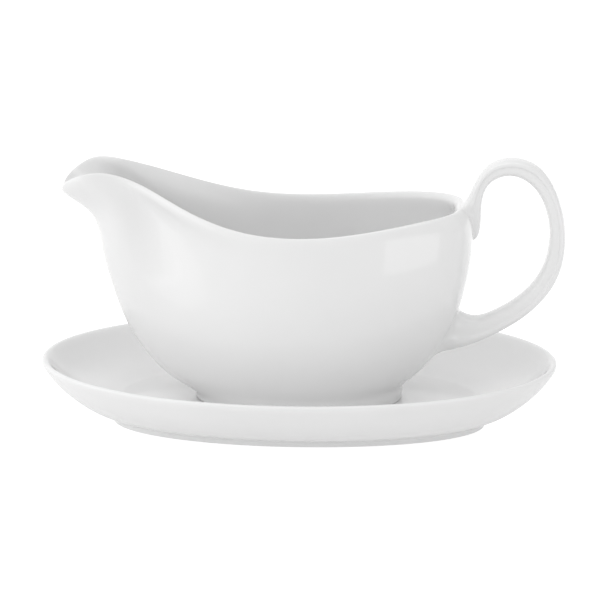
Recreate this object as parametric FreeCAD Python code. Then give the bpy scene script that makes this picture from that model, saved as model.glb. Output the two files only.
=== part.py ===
import FreeCAD, Part
import math
import os

# Gravy boat on its oval saucer, in millimetres.
# Origin: middle of the whole set's length and width, on the table. +X to the handle, +Z up.
# The shapes are drawn about the saucer's own centre, and main() moves them to that origin.

# ---- saucer ----
SAUCER_LENGTH = 225.0
SAUCER_WIDTH = 150.0
SAUCER_HEIGHT = 29.8
SAUCER_FOOT_LENGTH = 163.0
SAUCER_FOOT_WIDTH = 73.0
SAUCER_FOOT_LAND = 4.0
SEAT_HEIGHT = 12.8
SEAT_HALF_LENGTH = 78.5
SEAT_HALF_WIDTH = 46.0
SEAT_CORNER = 2.5
SEAT_CORNER_RISE = 0.2
UNDERSIDE_HEIGHT = 8.0
UNDERSIDE_CORNER = 2.0

# Control levels of the saucer's outside, foot to lip: share of the way out from the foot to the rim, height.
SAUCER_OUTSIDE = [
    (0.00, 1.9),
    (0.06, 3.4),
    (0.29, 6.4),
    (0.54, 11.5),
    (0.79, 18.5),
    (0.945, 25.0),
    (1.00, 27.8),
    (1.00, 29.8),
]
# The same for its inside, lip to seat.
SAUCER_INSIDE = [
    (0.94, 30.0),
    (0.88, 28.0),
    (0.76, 23.4),
    (0.54, 18.0),
    (0.26, 14.2),
]

# ---- boat ----
FOOT_HALF_LENGTH = 45.2
FOOT_HALF_WIDTH = 33.5
FOOT_LAND = 3.6
FOOT_RECESS = 2.0
FOOT_HEIGHT = 4.4
FOOT_FLARE = 0.4
WALL = 3.2
BACK_THICKENING = 2.8
FLOOR_THICKNESS = 5.0
# Level part of the boat's floor, as shares of the foot's half length and half width.
FLOOR_REACH = [(0.8, 0.72), (0.5, 0.45)]
LIP_RISE = 0.9 * WALL

# Half of the rim line from the handle to the tip of the spout: x, y, z of its control points.
RIM_LINE = [
    (72.6, 0.0, 98.9),
    (72.6, 11.4, 98.8),
    (67.2, 23.4, 98.0),
    (51.5, 34.0, 96.4),
    (29.0, 42.4, 93.2),
    (3.0, 45.2, 90.8),
    (-24.0, 41.8, 92.2),
    (-48.0, 32.4, 99.2),
    (-66.0, 20.0, 107.4),
    (-80.0, 16.4, 113.6),
    (-93.0, 22.6, 112.8),
    (-103.6, 11.2, 103.8),
    (-102.2, 0.0, 102.4),
]

# Wall between the foot and the rim: share of the height, reach to the back, reach to the spout,
# half width, and how far the section has gone from an oval (0) to the rim's own outline (1).
WALL_LEVELS = [
    (0.03, 45.2, 52.0, 33.6, 0.00),
    (0.09, 52.4, 60.4, 36.9, 0.00),
    (0.19, 60.0, 67.2, 40.4, 0.02),
    (0.31, 66.0, 74.4, 42.8, 0.08),
    (0.45, 70.0, 78.8, 44.2, 0.20),
    (0.58, 72.6, 82.0, 45.0, 0.38),
    (0.70, 74.6, 84.6, 45.3, 0.58),
    (0.82, 75.4, 85.6, 45.4, 0.78),
    (0.92, 75.2, 88.6, 45.3, 0.94),
]

# Handle, from the back rim over the loop and down to the belly:
# outer edge x, z, inner edge x, z, half width. The first two and last two lie in the boat's wall.
HANDLE_ROWS = [
    (69.8, 97.0, 72.0, 84.6, 8.4),
    (71.0, 100.8, 76.2, 82.2, 7.4),
    (72.6, 104.4, 78.8, 89.0, 6.2),
    (75.0, 111.6, 78.4, 100.0, 5.6),
    (81.5, 118.6, 80.4, 109.4, 5.6),
    (92.5, 121.2, 91.0, 114.2, 5.6),
    (106.0, 116.0, 101.8, 108.4, 5.6),
    (113.8, 99.4, 107.4, 96.4, 5.6),
    (115.8, 82.6, 108.6, 84.0, 5.6),
    (112.4, 65.6, 105.4, 69.6, 5.6),
    (101.0, 52.0, 95.6, 58.4, 5.6),
    (88.5, 44.0, 83.0, 51.0, 5.8),
    (76.5, 38.0, 74.0, 48.4, 6.2),
    (66.0, 34.6, 67.0, 53.5, 7.2),
    (52.0, 32.5, 54.0, 60.0, 8.0),
]
# Share of the handle's thickness, from the inner edge, where it is widest.
RIDGE = 0.6

# ---- drawing ----
EDGE = 0.8
CLEAR = 1.0
COLUMNS = 2 * (len(RIM_LINE) - 1)
SECTION_POLES = 12
DEGREE = 3


def vector(x, y, z):
    return FreeCAD.Vector(x, y, z)


def round_factor(count):
    """How far out control points lie so that a closed cubic spline follows an oval."""
    return 6.0 / (4.0 + 2.0 * math.cos(2.0 * math.pi / count))


def oval(half_length, half_width, z):
    """Closed ring of control points of a level oval."""
    factor = round_factor(COLUMNS)
    ring = []
    for index in range(COLUMNS):
        angle = 2.0 * math.pi * index / COLUMNS
        ring.append(vector(factor * half_length * math.cos(angle), factor * half_width * math.sin(angle), z))
    return ring


def ring_face(rings):
    """Smooth face through closed rings of control points, open at its two ends."""
    around = len(rings[0])
    spans = len(rings) - DEGREE
    surface = Part.BSplineSurface()
    surface.buildFromPolesMultsKnots(
        [[ring[index] for ring in rings] for index in range(around)],
        [1] * (around + 1),
        [DEGREE + 1] + [1] * (spans - 1) + [DEGREE + 1],
        [float(knot) for knot in range(around + 1)],
        [float(knot) for knot in range(spans + 1)],
        True,
        False,
        DEGREE,
        DEGREE,
    )
    return surface.toShape()


def ring_solid(rings):
    """Solid inside a ring face and the flat faces over its two ends."""
    face = ring_face(rings)
    ends = [edge for edge in face.Edges if edge.isClosed()]
    caps = [Part.Face(Part.Wire([edge])) for edge in ends]
    shell = Part.Shell([face] + caps)
    shell.sewShape()
    solid = Part.Solid(shell)
    if solid.Volume < 0:
        solid.reverse()
    return solid


def mirrored_ring(half):
    """Full ring from the half of it on one side of the plane of symmetry."""
    return half + [vector(point.x, -point.y, point.z) for point in reversed(half[1:-1])]


def wall_thickness(share, angle):
    """Even, but for the thicker rim under the handle."""
    return WALL + BACK_THICKENING * share**2 * max(0.0, math.cos(angle)) ** 6


def inner_rings(rings):
    """Rings of the wall moved into the boat, square to the wall."""
    moved = []
    count = len(rings[0])
    for level, ring in enumerate(rings):
        below = rings[max(level - 1, 0)]
        above = rings[min(level + 1, len(rings) - 1)]
        inner = []
        for index, point in enumerate(ring):
            along = ring[(index + 1) % count] - ring[index - 1]
            up = above[index] - below[index]
            normal = up.cross(along)
            normal.normalize()
            thickness = wall_thickness(level / (len(rings) - 1), 2.0 * math.pi * index / count)
            inner.append(point + normal * thickness)
        moved.append(inner)
    return moved


def hollow(half_length, half_width, low, top, slope, corner):
    """Solid to cut out of an underside inside its foot ring."""
    return ring_solid([
        oval(half_length, half_width, low - CLEAR),
        oval(half_length, half_width, low),
        oval(half_length - slope, half_width - slope, top - corner),
        oval(half_length - slope - corner, half_width - slope - corner, top),
        oval(half_length * 0.8, half_width * 0.8, top),
    ])


def wall_ring(share, back, spout, half_width, pinch):
    """One level of the boat's wall."""
    rim_back = RIM_LINE[0][0]
    rim_spout = -RIM_LINE[-1][0]
    rim_width = max(point[1] for point in RIM_LINE)
    low = SEAT_HEIGHT + FOOT_HEIGHT
    factor = round_factor(COLUMNS) * (1.0 - pinch)
    half = []
    for index, (x, y, z) in enumerate(RIM_LINE):
        angle = math.pi * index / (len(RIM_LINE) - 1)
        u = factor * math.cos(angle) + pinch * x / (rim_back if x > 0 else rim_spout)
        v = factor * math.sin(angle) + pinch * y / rim_width
        reach = back if u > 0 else spout
        half.append(vector(reach * u, half_width * v, low + share * (z - low)))
    return mirrored_ring(half)


def boat_body():
    top_length = FOOT_HALF_LENGTH + FOOT_FLARE
    top_width = FOOT_HALF_WIDTH + FOOT_FLARE
    foot = [
        oval(FOOT_HALF_LENGTH - EDGE, FOOT_HALF_WIDTH - EDGE, SEAT_HEIGHT),
        oval(FOOT_HALF_LENGTH, FOOT_HALF_WIDTH, SEAT_HEIGHT + 0.4 * EDGE),
        oval(FOOT_HALF_LENGTH, FOOT_HALF_WIDTH, SEAT_HEIGHT + 1.5 * EDGE),
        oval(top_length, top_width, SEAT_HEIGHT + 0.8 * FOOT_HEIGHT),
    ]
    wall = [wall_ring(*level) for level in WALL_LEVELS]
    rim = mirrored_ring([vector(*point) for point in RIM_LINE])
    inside = inner_rings(wall + [rim])
    lip = [(a + b) * 0.5 + vector(0, 0, LIP_RISE) for a, b in zip(rim, inside[-1])]
    floor_z = SEAT_HEIGHT + FLOOR_THICKNESS
    floor = [oval(FOOT_HALF_LENGTH * a, FOOT_HALF_WIDTH * b, floor_z) for a, b in FLOOR_REACH]
    body = ring_solid(foot + wall + [rim, lip] + inside[:0:-1] + floor)
    inner_length = FOOT_HALF_LENGTH - FOOT_LAND
    inner_width = FOOT_HALF_WIDTH - FOOT_LAND
    recess = hollow(inner_length, inner_width, SEAT_HEIGHT, SEAT_HEIGHT + FOOT_RECESS, EDGE, EDGE)
    return body.cut(recess).Solids[0]


def handle_ring(outer_x, outer_z, inner_x, inner_z, half_width):
    """One cross-section of the handle: rounded, and widest at its ridge."""
    outer = vector(outer_x, 0, outer_z)
    inner = vector(inner_x, 0, inner_z)
    ridge = inner + (outer - inner) * RIDGE
    factor = round_factor(SECTION_POLES)
    ring = []
    for index in range(SECTION_POLES):
        angle = 2.0 * math.pi * index / SECTION_POLES
        share = (1.0 - RIDGE) if math.cos(angle) > 0 else RIDGE
        depth = (outer - inner) * (share * factor * math.cos(angle))
        side = vector(0, half_width * factor * math.sin(angle), 0)
        ring.append(ridge + depth + side)
    return ring


def boat_handle(body):
    """Loop handle, cut so that it ends on the outside of the body."""
    bar = ring_solid([handle_ring(*row) for row in HANDLE_ROWS])
    return max(bar.cut(body).Solids, key=lambda piece: piece.BoundBox.XMax)


def saucer():
    half_length = SAUCER_LENGTH / 2
    half_width = SAUCER_WIDTH / 2
    foot_x = SAUCER_FOOT_LENGTH / 2
    foot_y = SAUCER_FOOT_WIDTH / 2

    def between(share, z):
        return oval(foot_x + share * (half_length - foot_x), foot_y + share * (half_width - foot_y), z)

    foot = [oval(foot_x - EDGE, foot_y - EDGE, 0.0), oval(foot_x, foot_y, 0.3 * EDGE)]
    seat = [
        oval(SEAT_HALF_LENGTH, SEAT_HALF_WIDTH, SEAT_HEIGHT + SEAT_CORNER_RISE),
        oval(SEAT_HALF_LENGTH - SEAT_CORNER, SEAT_HALF_WIDTH - SEAT_CORNER, SEAT_HEIGHT),
        oval(SEAT_HALF_LENGTH * 0.8, SEAT_HALF_WIDTH * 0.8, SEAT_HEIGHT),
    ]
    dish = ring_solid(foot + [between(*level) for level in SAUCER_OUTSIDE + SAUCER_INSIDE] + seat)
    inner_x = foot_x - SAUCER_FOOT_LAND
    inner_y = foot_y - SAUCER_FOOT_LAND
    return dish.cut(hollow(inner_x, inner_y, 0.0, UNDERSIDE_HEIGHT, EDGE, UNDERSIDE_CORNER)).Solids[0]


def main():
    os.makedirs("parts", exist_ok=True)
    body = boat_body()
    handle = boat_handle(body)
    dish = saucer()
    low_x = dish.optimalBoundingBox(False).XMin
    high_x = handle.optimalBoundingBox(False).XMax
    to_origin = vector(-(low_x + high_x) / 2, 0, 0)
    parts = {"boat_body": body, "boat_handle": handle, "saucer": dish}
    for name, shape in parts.items():
        placed = shape.translated(to_origin)
        print(name, placed.isValid(), round(placed.Volume), placed.optimalBoundingBox(False))
        placed.exportStep("parts/" + name + ".step")


main()
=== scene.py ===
import math

import bmesh
import bpy
import numpy as np
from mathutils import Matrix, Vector
from mathutils.bvhtree import BVHTree


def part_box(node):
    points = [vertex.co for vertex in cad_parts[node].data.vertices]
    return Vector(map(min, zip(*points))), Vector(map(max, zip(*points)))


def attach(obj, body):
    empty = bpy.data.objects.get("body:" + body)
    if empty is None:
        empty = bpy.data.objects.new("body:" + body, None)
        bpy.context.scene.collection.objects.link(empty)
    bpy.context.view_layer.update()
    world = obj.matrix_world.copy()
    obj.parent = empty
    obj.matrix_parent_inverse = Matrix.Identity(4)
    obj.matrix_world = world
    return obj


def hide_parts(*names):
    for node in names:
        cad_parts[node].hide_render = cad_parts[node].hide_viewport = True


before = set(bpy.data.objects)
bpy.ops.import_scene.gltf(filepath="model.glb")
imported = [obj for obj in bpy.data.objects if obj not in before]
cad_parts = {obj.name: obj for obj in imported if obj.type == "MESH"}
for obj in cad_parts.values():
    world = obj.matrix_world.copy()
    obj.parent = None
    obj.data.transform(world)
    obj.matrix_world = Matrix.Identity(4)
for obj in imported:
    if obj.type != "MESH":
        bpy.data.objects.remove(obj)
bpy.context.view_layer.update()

# Lengths of the pieces are in millimetres about the saucer's centre, and to_frame turns them into
# metres in the frame. Lengths of the stage are in metres. The spout points to -X, the handle to +X.
MM = 0.001
SAUCER_LOW, SAUCER_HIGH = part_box("saucer")
CENTRE_X = (SAUCER_LOW.x + SAUCER_HIGH.x) / 2
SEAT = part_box("boat_body")[0].z / MM

# Rounding of the foot rings: EDGE next to the table or seat, and the smaller corner beside the land.
EDGE = 0.8
LAND_CORNER = 0.4 * EDGE

# A flat middle has a ring of control points at each of these shares of its size.
MIDDLE_SHARES = (0.8, 0.5)

# ---- saucer: ovals are given as half length, half width ----
SAUCER_RIM = ((SAUCER_HIGH.x - SAUCER_LOW.x) / 2 / MM, (SAUCER_HIGH.y - SAUCER_LOW.y) / 2 / MM)
SAUCER_FOOT = (81.5, 36.5)
SAUCER_FOOT_CORNER = 0.3 * EDGE
SAUCER_LAND = 4.0
SAUCER_HOLLOW = 8.0
SAUCER_HOLLOW_CORNER = 2.0
SEAT_OVAL = (78.5, 46.0)

# How the well runs out onto the flat seat: distance out from the seat's oval, height over the seat.
SEAT_EDGE = [(6.0, 1.9), (0.0, 0.1), (-2.5, 0.0)]

# Control levels of the saucer, from foot to lip outside, then from lip to well inside:
# share of the way out from the foot to the rim, height.
SAUCER_LEVELS = [
    (0.00, 1.8),
    (0.03, 2.9),
    (0.13, 4.4),
    (0.31, 6.8),
    (0.54, 11.5),
    (0.79, 18.5),
    (0.945, 25.0),
    (1.00, 27.8),
    (1.00, 29.8),
    (0.94, 30.0),
    (0.88, 28.0),
    (0.76, 23.4),
    (0.54, 18.0),
]

# ---- boat ----
# The foot rises straight at first, then flares out a little towards the wall.
BOAT_FOOT = (45.2, 33.5)
BOAT_LAND = 3.6
BOAT_HOLLOW = 2.0
FOOT_HEIGHT = 4.4
FOOT_STRAIGHT = 1.5 * EDGE
FOOT_FLARE = 0.4
FLARE_HEIGHT = 0.8 * FOOT_HEIGHT

# Thickness of the wall, and what the back of the rim has more. The powers say how close the extra
# stays to the rim and to the middle of the back. The lip's control points stand over the rim line.
WALL = 3.2
BACK_THICKENING = 4.2
RIM_POWER = 2
BACK_POWER = 3
LIP_RISE = 0.9 * WALL

# The bowl's floor: thickness, and its width as a share of the foot's.
BOWL_FLOOR = 5.0
BOWL_NARROWING = 0.9

# Half of the rim line from the handle to the tip of the spout: x, y, z of its control points.
RIM_LINE = [
    (72.6, 0.0, 98.9),
    (72.6, 11.4, 98.8),
    (67.2, 23.4, 98.0),
    (51.5, 34.0, 96.4),
    (29.0, 42.4, 93.2),
    (3.0, 45.2, 90.8),
    (-24.0, 41.8, 92.2),
    (-48.0, 32.4, 99.2),
    (-66.0, 20.0, 107.4),
    (-80.0, 16.4, 113.6),
    (-93.0, 22.6, 112.8),
    (-103.6, 11.2, 103.8),
    (-102.2, 0.0, 102.4),
]

# Wall between the foot and the rim: share of the height, reach to the back, reach to the spout,
# half width, and how far the section has gone from an oval (0) to the rim's own outline (1).
WALL_LEVELS = [
    (0.03, 45.2, 52.0, 33.6, 0.00),
    (0.09, 52.4, 60.4, 36.9, 0.01),
    (0.19, 60.0, 67.2, 40.4, 0.05),
    (0.31, 66.0, 74.4, 42.8, 0.14),
    (0.45, 70.0, 78.8, 44.2, 0.30),
    (0.58, 72.6, 82.0, 45.0, 0.50),
    (0.70, 74.6, 84.6, 45.3, 0.70),
    (0.82, 75.4, 85.6, 45.4, 0.86),
    (0.92, 75.2, 88.6, 45.3, 0.96),
]

# ---- handle ----
# Rows from inside the back rim over the loop and down into the belly:
# outer edge x, z, inner edge x, z, half width.
HANDLE_ROWS = [
    (69.8, 97.0, 72.0, 84.6, 8.4),
    (71.0, 99.8, 76.2, 82.2, 7.4),
    (73.4, 103.6, 78.8, 89.0, 6.2),
    (76.0, 111.2, 78.4, 100.0, 5.6),
    (82.0, 118.2, 80.4, 109.4, 5.6),
    (92.7, 120.9, 91.0, 114.2, 5.6),
    (106.0, 116.0, 101.8, 108.4, 5.6),
    (113.8, 99.4, 107.4, 96.4, 5.6),
    (115.8, 82.6, 108.6, 84.0, 5.6),
    (112.4, 65.6, 105.4, 69.6, 5.6),
    (101.0, 52.0, 95.6, 58.4, 5.6),
    (88.5, 44.0, 83.0, 51.0, 5.8),
    (76.5, 38.0, 74.0, 48.4, 6.2),
    (66.0, 34.6, 67.0, 53.5, 7.2),
    (52.0, 32.5, 54.0, 60.0, 8.0),
]

# How far the first rows narrow towards their inner edge, which makes a leaf's tip under the rim.
LEAF = [0.9, 0.75, 0.5, 0.15]

# Half of the handle's cross-section, from the middle of its outer face to the middle of its inner
# face: share of the thickness from the inner edge, share of the half width. A groove parts the strap
# along the outside from the rounder rib inside it.
HANDLE_SECTION = [
    (1.00, 0.00),
    (1.00, 0.36),
    (0.97, 0.68),
    (0.90, 0.92),
    (0.80, 1.02),
    (0.72, 1.03),
    (0.66, 1.00),
    (0.61, 0.93),
    (0.54, 0.92),
    (0.38, 0.94),
    (0.18, 0.88),
    (0.02, 0.56),
    (-0.04, 0.00),
]

# Spans of the handle's spline before its upper root ends, and before its lower root begins.
UPPER_ROOT_SPANS = 4
LOWER_ROOT_SPANS = 9

# Reach of each root's fillet: everywhere, more on the outer side, more at the two sides.
UPPER_REACH = (1.2, 4.6, 1.0)
LOWER_REACH = (2.2, 1.0, 4.6)

# How far the handle's ends are sunk into the boat's wall.
ROOT_DEPTH = 0.8

# ---- meshing: control points round each ring, then mesh steps ----
COLUMNS = 2 * (len(RIM_LINE) - 1)
DEGREE = 3
SPAN_STEPS = 8
ROOT_STEPS = 40
FILLET_STEPS = 10


def closed_weights(count, steps):
    """Cubic spline weights of a closed ring's control points, at even places around it."""
    weights = np.zeros((count * steps, count))
    for place in range(count * steps):
        span, step = divmod(place, steps)
        t = step / steps
        parts = (
            (1 - t) ** 3 / 6,
            (3 * t**3 - 6 * t**2 + 4) / 6,
            (-3 * t**3 + 3 * t**2 + 3 * t + 1) / 6,
            t**3 / 6,
        )
        for offset, part in enumerate(parts):
            weights[place, (span + offset - 1) % count] += part
    return weights


def open_weights(count, steps):
    """Cubic spline weights of a row of control points, from its first point to its last."""
    spans = count - DEGREE
    knots = [0.0] * DEGREE + [float(k) for k in range(spans + 1)] + [float(spans)] * DEGREE
    weights = np.zeros((spans * steps + 1, count))
    for place in range(spans * steps + 1):
        t = min(place / steps, spans - 1e-9)
        basis = [1.0 if knots[i] <= t < knots[i + 1] else 0.0 for i in range(len(knots) - 1)]
        for degree in range(1, DEGREE + 1):
            raised = []
            for i in range(len(basis) - 1):
                left = knots[i + degree] - knots[i]
                right = knots[i + degree + 1] - knots[i + 1]
                value = basis[i] * (t - knots[i]) / left if left else 0.0
                value += basis[i + 1] * (knots[i + degree + 1] - t) / right if right else 0.0
                raised.append(value)
            basis = raised
        weights[place] = basis
    return weights


def surface_grid(rings):
    """Points of the smooth surface that closed rings of control points shape, row by row."""
    poles = np.array(rings, float)
    along = open_weights(len(rings), SPAN_STEPS)
    around = closed_weights(len(rings[0]), SPAN_STEPS)
    return np.einsum("ai,bj,ijk->abk", along, around, poles)


def angles_round(count):
    """Even angles round a ring, from the handle's side."""
    return np.arange(count) * 2.0 * math.pi / count


def round_factor(count):
    """How far out control points lie so that a closed cubic spline follows an oval."""
    return 6.0 / (4.0 + 2.0 * math.cos(2.0 * math.pi / count))


def oval(size, z, out=0.0, share=1.0):
    """Closed ring of control points of a level oval, a share of the size and moved out all round."""
    half_length, half_width = (half * share + out for half in size)
    angles = angles_round(COLUMNS)
    factor = round_factor(COLUMNS)
    x = factor * half_length * np.cos(angles)
    y = factor * half_width * np.sin(angles)
    return np.stack([x, y, np.full(COLUMNS, z)], axis=1)


def flat_middle(size, z):
    """Rings of a flat middle, from its edge inwards."""
    return [oval(size, z, share=share) for share in MIDDLE_SHARES]


def hollow(foot, land, low, depth, corner):
    """Rings of the underside inside a foot ring, from its middle out to the foot's land."""
    size = [half - land for half in foot]
    top = low + depth
    return flat_middle(size, top)[::-1] + [
        oval(size, top, -EDGE - corner),
        oval(size, top - corner, -EDGE),
        oval(size, low + LAND_CORNER),
        oval(size, low, LAND_CORNER),
    ]


def mirrored(half):
    """Full ring from the half of it on one side of the plane of symmetry."""
    half = np.array(half, float)
    return np.concatenate([half, half[-2:0:-1] * (1, -1, 1)])


def to_frame(points):
    """Millimetres about the saucer's centre to metres in the frame."""
    return np.asarray(points) * MM + (CENTRE_X, 0, 0)


def tube_object(name, grid):
    """Mesh object from a grid of rings, closed by a flat face at each end."""
    bm = bmesh.new()
    rows = [[bm.verts.new(Vector(point)) for point in to_frame(ring)] for ring in grid]
    count = len(rows[0])
    for low, high in zip(rows, rows[1:]):
        for i in range(count):
            j = (i + 1) % count
            bm.faces.new((low[i], low[j], high[j], high[i]))
    bm.faces.new(reversed(rows[0]))
    bm.faces.new(rows[-1])
    bmesh.ops.recalc_face_normals(bm, faces=bm.faces)
    for face in bm.faces:
        face.smooth = True
    mesh = bpy.data.meshes.new(name)
    bm.to_mesh(mesh)
    bm.free()
    piece = bpy.data.objects.new(name, mesh)
    bpy.context.scene.collection.objects.link(piece)
    return piece


# ---- shape of the saucer ----
def saucer_rings():
    """Rings from the middle of the underside, round the foot and the lip, to the middle of the seat."""
    under = hollow(SAUCER_FOOT, SAUCER_LAND, 0.0, SAUCER_HOLLOW, SAUCER_HOLLOW_CORNER)
    foot = [oval(SAUCER_FOOT, 0.0, -EDGE), oval(SAUCER_FOOT, SAUCER_FOOT_CORNER)]
    sides = []
    for share, z in SAUCER_LEVELS:
        size = [low + share * (high - low) for low, high in zip(SAUCER_FOOT, SAUCER_RIM)]
        sides.append(oval(size, z))
    seat = [oval(SEAT_OVAL, SEAT + rise, out) for out, rise in SEAT_EDGE]
    return under + foot + sides + seat + flat_middle(SEAT_OVAL, SEAT)


# ---- shape of the boat ----
def wall_ring(share, back, spout, half_width, pinch):
    """One level of the boat's wall, between an oval and the rim's own outline."""
    rim = np.array(RIM_LINE)
    low = SEAT + FOOT_HEIGHT
    angles = np.linspace(0.0, math.pi, len(rim))
    factor = round_factor(COLUMNS) * (1.0 - pinch)
    ends = np.where(rim[:, 0] > 0, rim[0, 0], -rim[-1, 0])
    u = factor * np.cos(angles) + pinch * rim[:, 0] / ends
    v = factor * np.sin(angles) + pinch * rim[:, 1] / rim[:, 1].max()
    reach = np.where(u > 0, back, spout)
    return mirrored(np.stack([reach * u, half_width * v, low + share * (rim[:, 2] - low)], axis=1))


def wall_thickness(share):
    """Thickness round one level of the wall: even, but for the thicker rim under the handle."""
    towards_back = np.maximum(0.0, np.cos(angles_round(COLUMNS)))
    return WALL + BACK_THICKENING * share**RIM_POWER * towards_back**BACK_POWER


def inner_rings(rings):
    """Rings of the wall moved into the boat, square to the wall."""
    moved = []
    for level, ring in enumerate(rings):
        below = rings[max(level - 1, 0)]
        above = rings[min(level + 1, len(rings) - 1)]
        along = np.roll(ring, -1, axis=0) - np.roll(ring, 1, axis=0)
        normal = np.cross(above - below, along)
        normal /= np.linalg.norm(normal, axis=1)[:, None]
        moved.append(ring + normal * wall_thickness(level / (len(rings) - 1))[:, None])
    return moved


def body_rings():
    """Rings from the middle of the underside, round the foot and the rim, to the middle of the bowl."""
    under = hollow(BOAT_FOOT, BOAT_LAND, SEAT, BOAT_HOLLOW, EDGE)
    foot = [
        oval(BOAT_FOOT, SEAT, -EDGE),
        oval(BOAT_FOOT, SEAT + LAND_CORNER),
        oval(BOAT_FOOT, SEAT + FOOT_STRAIGHT),
        oval(BOAT_FOOT, SEAT + FLARE_HEIGHT, FOOT_FLARE),
    ]
    wall = [wall_ring(*level) for level in WALL_LEVELS]
    rim = mirrored(RIM_LINE)
    inside = inner_rings(wall + [rim])
    lip = (rim + inside[-1]) / 2 + (0, 0, LIP_RISE)
    bowl = (BOAT_FOOT[0], BOAT_FOOT[1] * BOWL_NARROWING)
    return under + foot + wall + [rim, lip] + inside[:0:-1] + flat_middle(bowl, SEAT + BOWL_FLOOR)


# ---- shape of the handle ----
def handle_ring(outer_x, outer_z, inner_x, inner_z, half_width, leaf):
    """One cross-section of the handle, narrowed towards its inner edge by the share leaf."""
    outer = np.array((outer_x, 0.0, outer_z))
    inner = np.array((inner_x, 0.0, inner_z))
    depth, side = np.array(HANDLE_SECTION).T
    half = inner + np.outer(depth, outer - inner)
    half[:, 1] = half_width * side * (1.0 - leaf * (1.0 - depth))
    return mirrored(half)


def grid_skin(grid):
    """Surface of a grid of rings, to cast rays at."""
    faces = []
    rows, columns = grid.shape[:2]
    for row in range(rows - 1):
        low, high = row * columns, (row + 1) * columns
        for i in range(columns):
            j = (i + 1) % columns
            faces.append((low + i, low + j, high + j, high + i))
    return BVHTree.FromPolygons([Vector(point) for point in grid.reshape(-1, 3)], faces)


def column_end(path, skin):
    """Where a column of the handle meets the boat: whole steps along it, and the point."""
    for step, (start, end) in enumerate(zip(path, path[1:])):
        ray = Vector(end - start)
        hit = skin.ray_cast(Vector(start), ray.normalized(), ray.length)[0]
        if hit is not None:
            return step, np.array(hit)
    raise ValueError("a column of the handle misses the boat")


def resampled(path, lengths):
    """Points at the given lengths along a path."""
    steps = np.linalg.norm(np.diff(path, axis=0), axis=1)
    at = np.concatenate([[0.0], np.cumsum(steps)])
    return np.stack([np.interp(lengths, at, path[:, axis]) for axis in range(3)], axis=1)


def root_reach(columns, everywhere, outside, sides):
    """Reach of a root's fillet in each column round the handle."""
    angles = angles_round(columns)
    return everywhere + outside * (1.0 + np.cos(angles)) / 2.0 + sides * np.sin(angles) ** 2


def rooted(grid, skin, reach):
    """Handle rows, free end first, whose last part is drawn onto the boat by a fillet of that reach."""
    columns = grid.shape[1]
    ends = [column_end(grid[:, i], skin) for i in range(columns)]
    middle = np.mean([end for _, end in ends], axis=0)
    rows = np.zeros((ROOT_STEPS + FILLET_STEPS + 1, columns, 3))
    for i, (step, end) in enumerate(ends):
        path = np.concatenate([grid[: step + 1, i], [end]])
        length = np.linalg.norm(np.diff(path, axis=0), axis=1).sum()
        straight = resampled(path, np.linspace(0.0, length - reach[i], ROOT_STEPS))
        normal = skin.find_nearest(Vector(end))[1]
        away = Vector(end - middle)
        away -= away.dot(normal) * normal
        landing, normal = skin.find_nearest(Vector(end) + away.normalized() * reach[i])[:2]
        t = np.linspace(0.0, 1.0, FILLET_STEPS + 1)[1:, None]
        curve = (1 - t) ** 2 * straight[-1] + 2 * t * (1 - t) * end + t**2 * np.array(landing)
        rows[:, i] = np.concatenate([straight, curve, [np.array(landing - normal * ROOT_DEPTH)]])
    return rows


def handle_grid(body_grid):
    """Grid of the whole handle, both of its roots fitted to the boat."""
    leaves = LEAF + [0.0] * (len(HANDLE_ROWS) - len(LEAF))
    grid = surface_grid([handle_ring(*row, leaf) for row, leaf in zip(HANDLE_ROWS, leaves)])
    skin = grid_skin(body_grid)
    columns = grid.shape[1]
    high = UPPER_ROOT_SPANS * SPAN_STEPS
    low = LOWER_ROOT_SPANS * SPAN_STEPS
    upper = rooted(grid[high::-1], skin, root_reach(columns, *UPPER_REACH))
    lower = rooted(grid[low:], skin, root_reach(columns, *LOWER_REACH))
    return np.concatenate([upper[:0:-1], grid[high:low], lower])


# ---- nodes ----
def set_inputs(node, **inputs):
    """Sets a node's inputs by name, with _ for each space."""
    for name, value in inputs.items():
        node.inputs[name.replace("_", " ")].default_value = value


def add_node(tree, kind, **inputs):
    node = tree.nodes.new(kind)
    set_inputs(node, **inputs)
    return node


def add_math(tree, operation, first, second):
    """Result of a sum on an output and either a number or another output."""
    node = tree.nodes.new("ShaderNodeMath")
    node.operation = operation
    tree.links.new(first, node.inputs[0])
    if isinstance(second, float):
        node.inputs[1].default_value = second
    else:
        tree.links.new(second, node.inputs[1])
    return node.outputs["Value"]


def coordinates(tree, kind):
    return tree.nodes.new("ShaderNodeTexCoord").outputs[kind]


def camera_ray(tree):
    """1 for what the camera sees directly, 0 for light and reflections."""
    return tree.nodes.new("ShaderNodeLightPath").outputs["Is Camera Ray"]


def add_noise(tree, scale, detail):
    node = add_node(tree, "ShaderNodeTexNoise", Scale=scale, Detail=detail)
    tree.links.new(coordinates(tree, "Object"), node.inputs["Vector"])
    return node.outputs["Fac"]


def add_bump(tree, height, distance, strength):
    node = add_node(tree, "ShaderNodeBump", Strength=strength, Distance=distance)
    tree.links.new(height, node.inputs["Height"])
    return node.outputs["Normal"]


def add_ramp(tree, factor, low, high):
    """Colour between two colours, as the factor goes from a quarter to three quarters."""
    ramp = tree.nodes.new("ShaderNodeValToRGB")
    for element, position, colour in zip(ramp.color_ramp.elements, (0.25, 0.75), (low, high)):
        element.position = position
        element.color = (*colour, 1)
    tree.links.new(factor, ramp.inputs["Fac"])
    return ramp.outputs["Color"]


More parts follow.
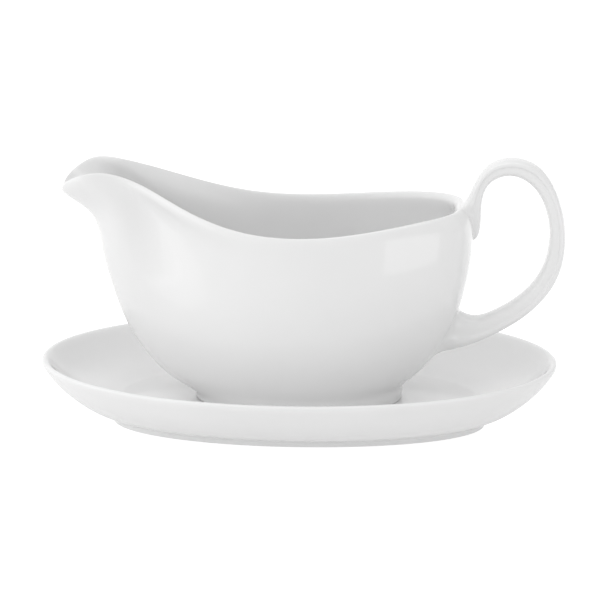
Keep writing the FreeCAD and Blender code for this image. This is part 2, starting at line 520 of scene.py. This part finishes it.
# ---- materials: scales of the noise, and heights in metres ----
GLAZE_COLOURS = ((0.79, 0.79, 0.79), (0.81, 0.81, 0.81))
GLAZE_PATCHES = 28.0
GLAZE_WAVES = 60.0
GLAZE_WAVE_HEIGHT = 0.0004
CLAY_COLOURS = ((0.72, 0.71, 0.69), (0.80, 0.79, 0.77))
CLAY_GRAINS = 900.0
CLAY_GRAIN_HEIGHT = 0.0002

# Faces wholly below this height over a foot ring's land are bare clay (in millimetres).
BARE_HEIGHT = 0.1


def new_material(name):
    """Material with nodes, its node tree and its shader."""
    material = bpy.data.materials.new(name)
    material.use_nodes = True
    return material, material.node_tree, material.node_tree.nodes["Principled BSDF"]


def glazed_porcelain():
    """White porcelain under a clear gloss glaze that lies in faint waves."""
    material, tree, shader = new_material("glazed_porcelain")
    set_inputs(shader, Roughness=0.45, IOR=1.45, Coat_Weight=1.0, Coat_Roughness=0.06, Coat_IOR=1.52)
    patches = add_noise(tree, GLAZE_PATCHES, detail=3.0)
    tree.links.new(add_ramp(tree, patches, *GLAZE_COLOURS), shader.inputs["Base Color"])
    waves = add_noise(tree, GLAZE_WAVES, detail=2.0)
    normal = add_bump(tree, waves, GLAZE_WAVE_HEIGHT, strength=0.06)
    tree.links.new(normal, shader.inputs["Coat Normal"])
    return material


def bare_clay():
    """Unglazed fired clay on the foot rings."""
    material, tree, shader = new_material("bare_clay")
    set_inputs(shader, Roughness=0.85)
    grain = add_noise(tree, CLAY_GRAINS, detail=4.0)
    tree.links.new(add_ramp(tree, grain, *CLAY_COLOURS), shader.inputs["Base Color"])
    normal = add_bump(tree, grain, CLAY_GRAIN_HEIGHT, strength=0.25)
    tree.links.new(normal, shader.inputs["Normal"])
    return material


# ---- pieces ----
def dress(piece, body, node, glaze):
    """Gives a piece its glaze and its body, and hides the CAD node that it stands for."""
    piece.data.materials.append(glaze)
    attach(piece, body)
    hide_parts(node)


def bare_land(piece, clay, land):
    """Leaves the land of a foot ring without glaze."""
    piece.data.materials.append(clay)
    limit = (land + BARE_HEIGHT) * MM
    for face in piece.data.polygons:
        face.material_index = int(all(piece.data.vertices[v].co.z < limit for v in face.vertices))


def build_pieces():
    glaze = glazed_porcelain()
    clay = bare_clay()
    body_grid = surface_grid(body_rings())
    body = tube_object("boat_body_glazed", body_grid)
    dress(body, "boat", "boat_body", glaze)
    bare_land(body, clay, SEAT)
    handle = tube_object("boat_handle_glazed", handle_grid(body_grid))
    dress(handle, "boat", "boat_handle", glaze)
    saucer = tube_object("saucer_glazed", surface_grid(saucer_rings()))
    dress(saucer, "saucer", "saucer", glaze)
    bare_land(saucer, clay, 0.0)


# ---- stage ----
# The camera looks at this point, a little beside the middle of the set and just under half way up.
TARGET = Vector((CENTRE_X + 0.57 * MM, 0.0, 55.7 * MM))
CAMERA_AZIMUTH = 3.5
CAMERA_ELEVATION = 14.95
CAMERA_DISTANCE = 1.25
SENSOR = 36.0
LENS = 172.5
VIEW_END = 50.0

# The floor glows white to the camera, and less to the pieces. Behind the set, over a stretch of Y,
# its glow on the pieces rises from the one level to the other.
FLOOR_HALF = 6.0
FLOOR_BASE = (0.5, 0.5, 0.5, 1)
FLOOR_WHITE = 0.75
FLOOR_GLOW = 0.43
BACK_GLOW = 0.70
GLOW_RISE = (0.10, 0.28)

# Brightness of the room, and how much more comes from +X, +Y and +Z.
ROOM_LEVEL = 0.88
ROOM_TILT = (-0.22, -0.02, 0.18)

# Rectangular lamps: azimuth, elevation, distance, width, height, radiance, and whether only
# reflections see it. Azimuths run from the front to the right.
SOFTBOXES = {
    "left": (-100, 25, 1.4, 1.0, 0.8, 0.16, False),
    "front_left": (-60, 14, 1.4, 1.0, 0.7, 0.50, False),
    "right": (95, 18, 1.4, 1.0, 0.7, 0.22, False),
    "front_right": (65, 10, 1.4, 1.0, 0.7, 0.10, False),
    "back": (180, 14, 1.4, 1.0, 0.7, 0.12, False),
    "low_left": (-66, -2, 0.5, 0.5, 0.10, 0.5, False),
    "left_card": (-66, 10, 0.6, 0.70, 0.42, 0.10, True),
    "right_card": (51, -2, 0.30, 0.17, 0.13, 0.9, True),
    "crest_card": (0, 84, 0.7, 0.9, 0.20, 1.2, True),
}


def direction(azimuth, elevation):
    """Unit vector; azimuth in degrees from -Y round to +X."""
    a, e = math.radians(azimuth), math.radians(elevation)
    return Vector((math.sin(a) * math.cos(e), -math.cos(a) * math.cos(e), math.sin(e)))


def build_floor():
    """Pale floor that is lit up white to the camera, and dimmer to the pieces standing on it."""
    mesh = bpy.data.meshes.new("floor")
    s = FLOOR_HALF
    mesh.from_pydata([(-s, -s, 0), (s, -s, 0), (s, s, 0), (-s, s, 0)], [], [(0, 1, 2, 3)])
    piece = bpy.data.objects.new("floor", mesh)
    bpy.context.scene.collection.objects.link(piece)
    material, tree, shader = new_material("pale_floor")
    set_inputs(shader, Base_Color=FLOOR_BASE, Roughness=0.9, Emission_Color=(1, 1, 1, 1))
    where = tree.nodes.new("ShaderNodeSeparateXYZ")
    tree.links.new(coordinates(tree, "Object"), where.inputs["Vector"])
    behind = add_node(tree, "ShaderNodeMapRange", From_Min=GLOW_RISE[0], From_Max=GLOW_RISE[1],
                      To_Min=FLOOR_GLOW, To_Max=BACK_GLOW)
    tree.links.new(where.outputs["Y"], behind.inputs["Value"])
    glow = add_node(tree, "ShaderNodeMapRange", To_Max=FLOOR_WHITE)
    tree.links.new(camera_ray(tree), glow.inputs["Value"])
    tree.links.new(behind.outputs["Result"], glow.inputs["To Min"])
    tree.links.new(glow.outputs["Result"], shader.inputs["Emission Strength"])
    mesh.materials.append(material)


def build_room():
    """White room, brighter to the left and above, and plain white to the camera."""
    room = bpy.data.worlds.new("studio")
    room.use_nodes = True
    tree = room.node_tree
    background = tree.nodes["Background"]
    background.inputs["Color"].default_value = (1, 1, 1, 1)
    tilt = tree.nodes.new("ShaderNodeVectorMath")
    tilt.operation = "DOT_PRODUCT"
    tilt.inputs[1].default_value = ROOM_TILT
    tree.links.new(coordinates(tree, "Generated"), tilt.inputs[0])
    level = add_math(tree, "ADD", tilt.outputs["Value"], ROOM_LEVEL)
    seen = add_math(tree, "MAXIMUM", level, camera_ray(tree))
    tree.links.new(seen, background.inputs["Strength"])
    bpy.context.scene.world = room


def build_softbox(name, azimuth, elevation, distance, width, height, radiance, reflection_only):
    """Rectangular lamp that faces the set."""
    light = bpy.data.lights.new(name, "AREA")
    light.shape = "RECTANGLE"
    light.size = width
    light.size_y = height
    light.energy = radiance * math.pi * width * height
    lamp = bpy.data.objects.new(name, light)
    lamp.location = TARGET + direction(azimuth, elevation) * distance
    lamp.rotation_euler = (TARGET - lamp.location).to_track_quat("-Z", "Y").to_euler()
    lamp.visible_camera = False
    lamp.visible_diffuse = not reflection_only
    bpy.context.scene.collection.objects.link(lamp)


def build_camera():
    data = bpy.data.cameras.new("camera")
    data.sensor_width = SENSOR
    data.lens = LENS
    data.clip_end = VIEW_END
    eye = bpy.data.objects.new("camera", data)
    away = direction(CAMERA_AZIMUTH, CAMERA_ELEVATION)
    eye.location = TARGET + away * CAMERA_DISTANCE
    eye.rotation_euler = (-away).to_track_quat("-Z", "Y").to_euler()
    bpy.context.scene.collection.objects.link(eye)
    bpy.context.scene.camera = eye


def build_stage():
    build_floor()
    build_room()
    for name, settings in SOFTBOXES.items():
        build_softbox(name, *settings)
    build_camera()
    bpy.context.scene.view_settings.view_transform = "Standard"


build_pieces()
build_stage()
